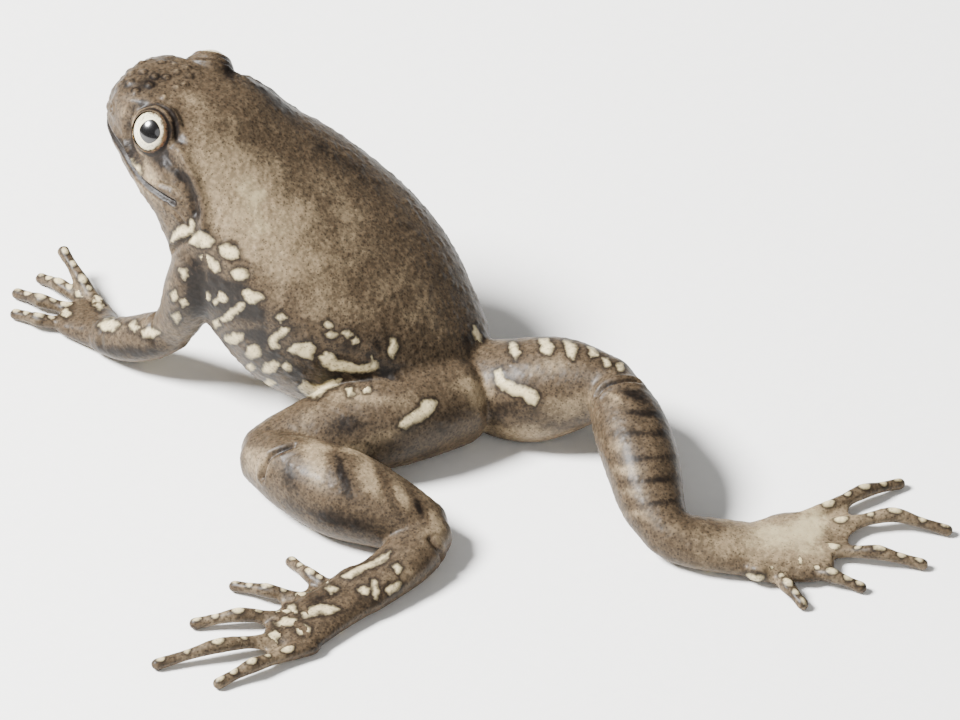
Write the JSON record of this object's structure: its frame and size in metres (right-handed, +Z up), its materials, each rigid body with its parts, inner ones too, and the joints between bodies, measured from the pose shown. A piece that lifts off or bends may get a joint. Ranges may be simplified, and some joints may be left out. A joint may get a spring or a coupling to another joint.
{
  "type": "frog model",
  "caption": "Life-size model of a small stocky African ground frog, crawling with its head raised, one hind leg folded and the other trailing behind",
  "frame": {"origin": "middle of the animal's outline on the floor it rests on", "axes": "+Z up, the snout points along -Y, the frog's own left side is +X"},
  "size_m": [0.0522, 0.0762, 0.0233],
  "materials": {
    "body_skin": "moist fine-grained skin",
    "limb_skin": "moist fine-grained skin",
    "digit_skin": "moist smooth skin",
    "eye": "wet polished eyeball"
  },
  "bodies": {
    "root": {"torso": "body_skin", "head": "body_skin", "eye_left": "eye", "eye_right": "eye", "upper_arm_left": "limb_skin", "forearm_left": "limb_skin", "hand_left": "limb_skin", "finger_1_left": "digit_skin", "finger_2_left": "digit_skin", "finger_3_left": "digit_skin", "finger_4_left": "digit_skin", "thigh_left": "limb_skin", "shank_left": "limb_skin", "tarsus_left": "limb_skin", "foot_left": "limb_skin", "toe_1_left": "digit_skin", "toe_2_left": "digit_skin", "toe_3_left": "digit_skin", "toe_4_left": "digit_skin", "toe_5_left": "digit_skin", "upper_arm_right": "limb_skin", "forearm_right": "limb_skin", "hand_right": "limb_skin", "finger_1_right": "digit_skin", "finger_2_right": "digit_skin", "finger_3_right": "digit_skin", "finger_4_right": "digit_skin", "thigh_right": "limb_skin", "shank_right": "limb_skin", "tarsus_right": "limb_skin", "foot_right": "limb_skin", "toe_1_right": "digit_skin", "toe_2_right": "digit_skin", "toe_3_right": "digit_skin", "toe_4_right": "digit_skin", "toe_5_right": "digit_skin"}
  },
  "joints": []
}
